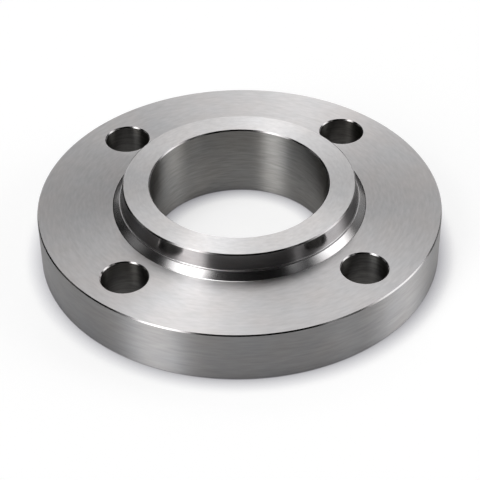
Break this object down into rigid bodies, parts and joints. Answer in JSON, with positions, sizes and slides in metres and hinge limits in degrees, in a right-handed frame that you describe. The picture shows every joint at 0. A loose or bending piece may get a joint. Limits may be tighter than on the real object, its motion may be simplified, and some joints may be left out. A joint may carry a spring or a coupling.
{
  "type": "slip-on pipe flange",
  "caption": "Round steel pipe flange with a short tapered hub, a smooth bore for the pipe and a ring of bolt holes.",
  "frame": {"origin": "middle of the flat gasket face, on the axis of the bore", "axes": "+Z along the bore axis, from the gasket face towards the hub; +X midway between two bolt holes"},
  "size_m": [0.176, 0.176, 0.034],
  "materials": {
    "machined_steel": "fine turned steel, bright chamfers"
  },
  "bodies": {
    "root": {"flange": "machined_steel"}
  },
  "joints": []
}
